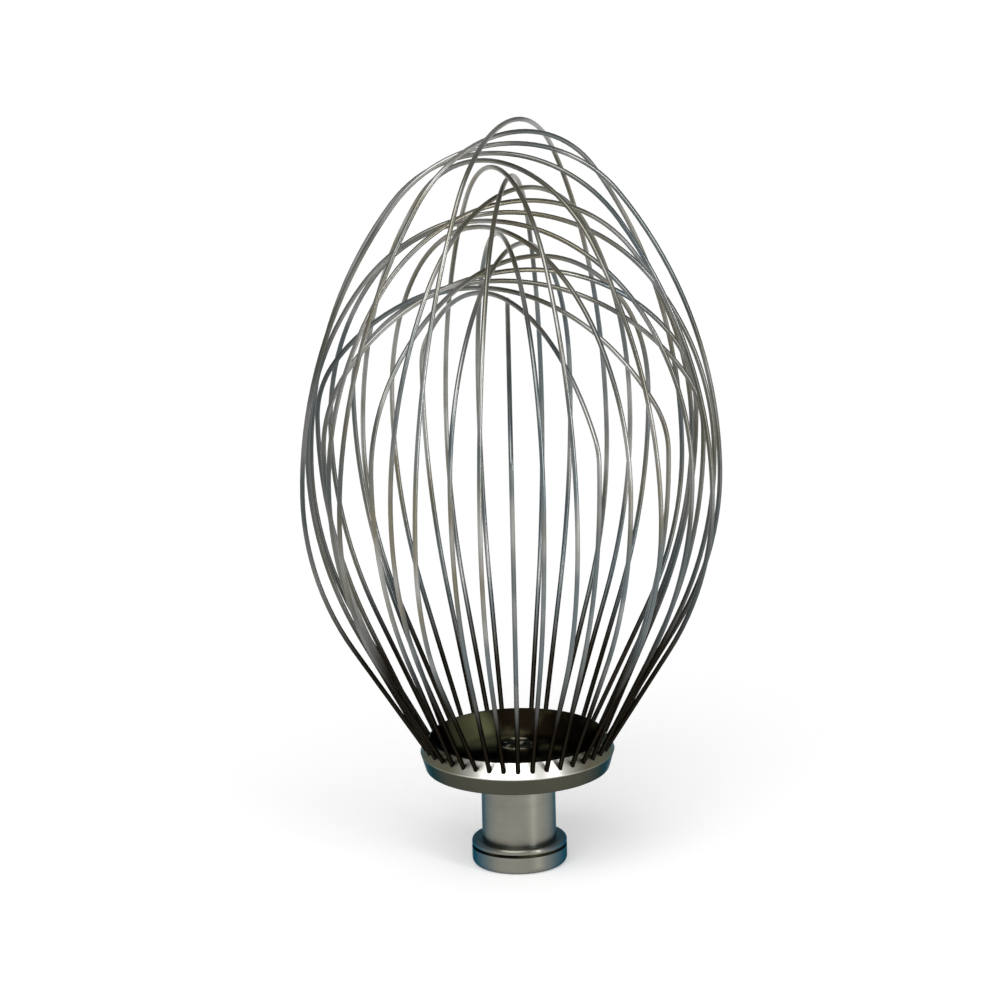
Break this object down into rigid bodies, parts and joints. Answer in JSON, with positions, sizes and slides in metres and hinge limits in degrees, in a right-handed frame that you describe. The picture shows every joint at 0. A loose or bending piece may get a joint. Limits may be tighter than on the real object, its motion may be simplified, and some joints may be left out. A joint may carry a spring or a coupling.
{
  "type": "stand mixer wire whisk",
  "caption": "Balloon whisk for a planetary mixer: nested wire loops that cross on the axis, seated in the rim of a dished hub with a collared shank, shaft bore and pin slot.",
  "frame": {"origin": "middle of the collar's end face, on the shaft's axis", "axes": "+Z from the collar's end face along the shaft's axis to the top of the balloon; one loop lies along X, another along Y, and the pin slot opens towards +Y"},
  "size_m": [0.2006, 0.1962, 0.3682],
  "materials": {
    "hub_metal": "satin, as turned, with fine tool marks round the axis",
    "wire": "smooth drawn stainless wire"
  },
  "bodies": {
    "root": {"hub": "hub_metal", "inner_loop_01": "wire", "inner_loop_02": "wire", "inner_loop_03": "wire", "inner_loop_04": "wire", "inner_loop_05": "wire", "inner_loop_06": "wire", "inner_loop_07": "wire", "inner_loop_08": "wire", "inner_loop_09": "wire", "inner_loop_10": "wire", "outer_loop_01": "wire", "outer_loop_02": "wire", "outer_loop_03": "wire", "outer_loop_04": "wire", "outer_loop_05": "wire", "outer_loop_06": "wire", "outer_loop_07": "wire", "outer_loop_08": "wire", "outer_loop_09": "wire", "outer_loop_10": "wire"}
  },
  "joints": []
}
